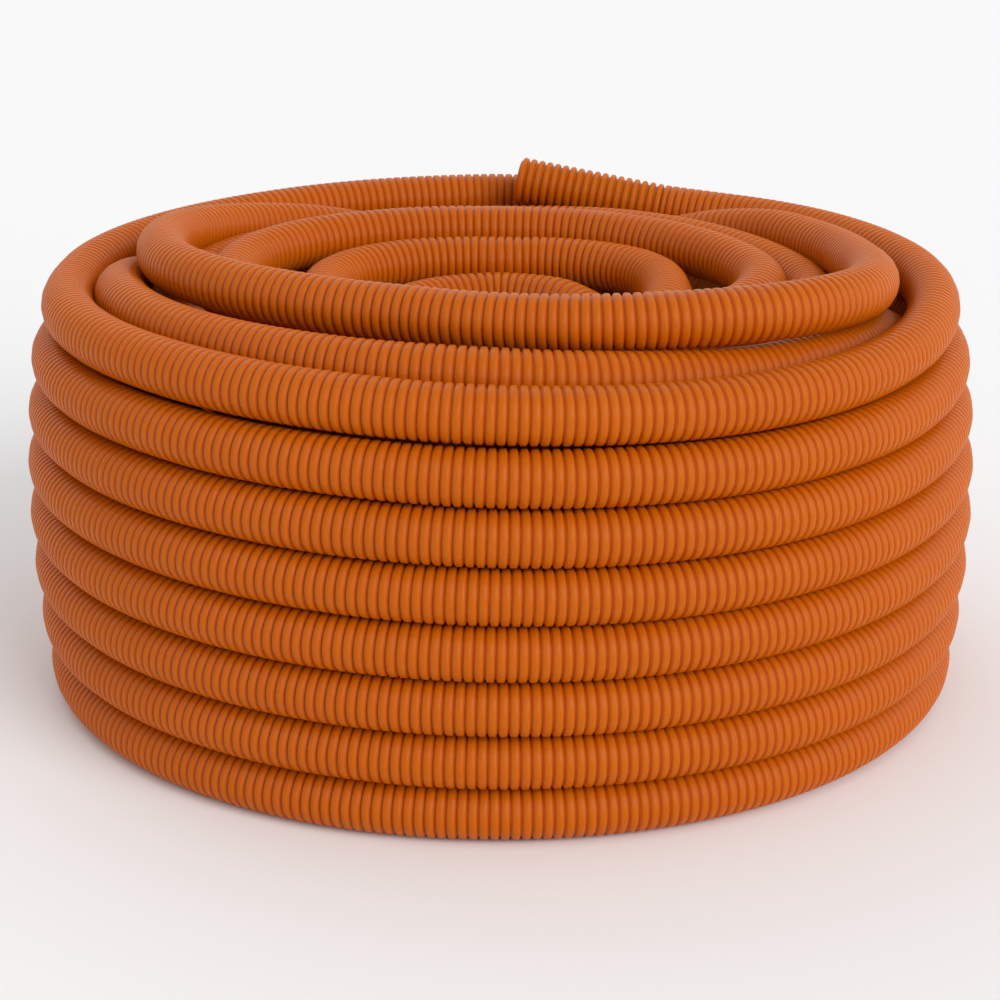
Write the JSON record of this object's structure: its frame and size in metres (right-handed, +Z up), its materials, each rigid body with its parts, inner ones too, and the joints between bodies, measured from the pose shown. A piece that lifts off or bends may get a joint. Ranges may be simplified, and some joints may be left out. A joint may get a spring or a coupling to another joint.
{
  "type": "corrugated conduit",
  "caption": "Coil of orange corrugated plastic conduit, wound in upright layers, with loose turns on top and one cut open end.",
  "frame": {"origin": "on the floor, in the middle of the coil's footprint", "axes": "+Z up along the coil's axis; +Y towards the side of the coil that the cut end lies on"},
  "size_m": [0.457, 0.4568, 0.2264],
  "materials": {
    "conduit": "satin gloss"
  },
  "bodies": {
    "root": {"wound_turns": "conduit", "slack_turns": "conduit", "last_turn": "conduit", "free_end": "conduit"}
  },
  "joints": []
}
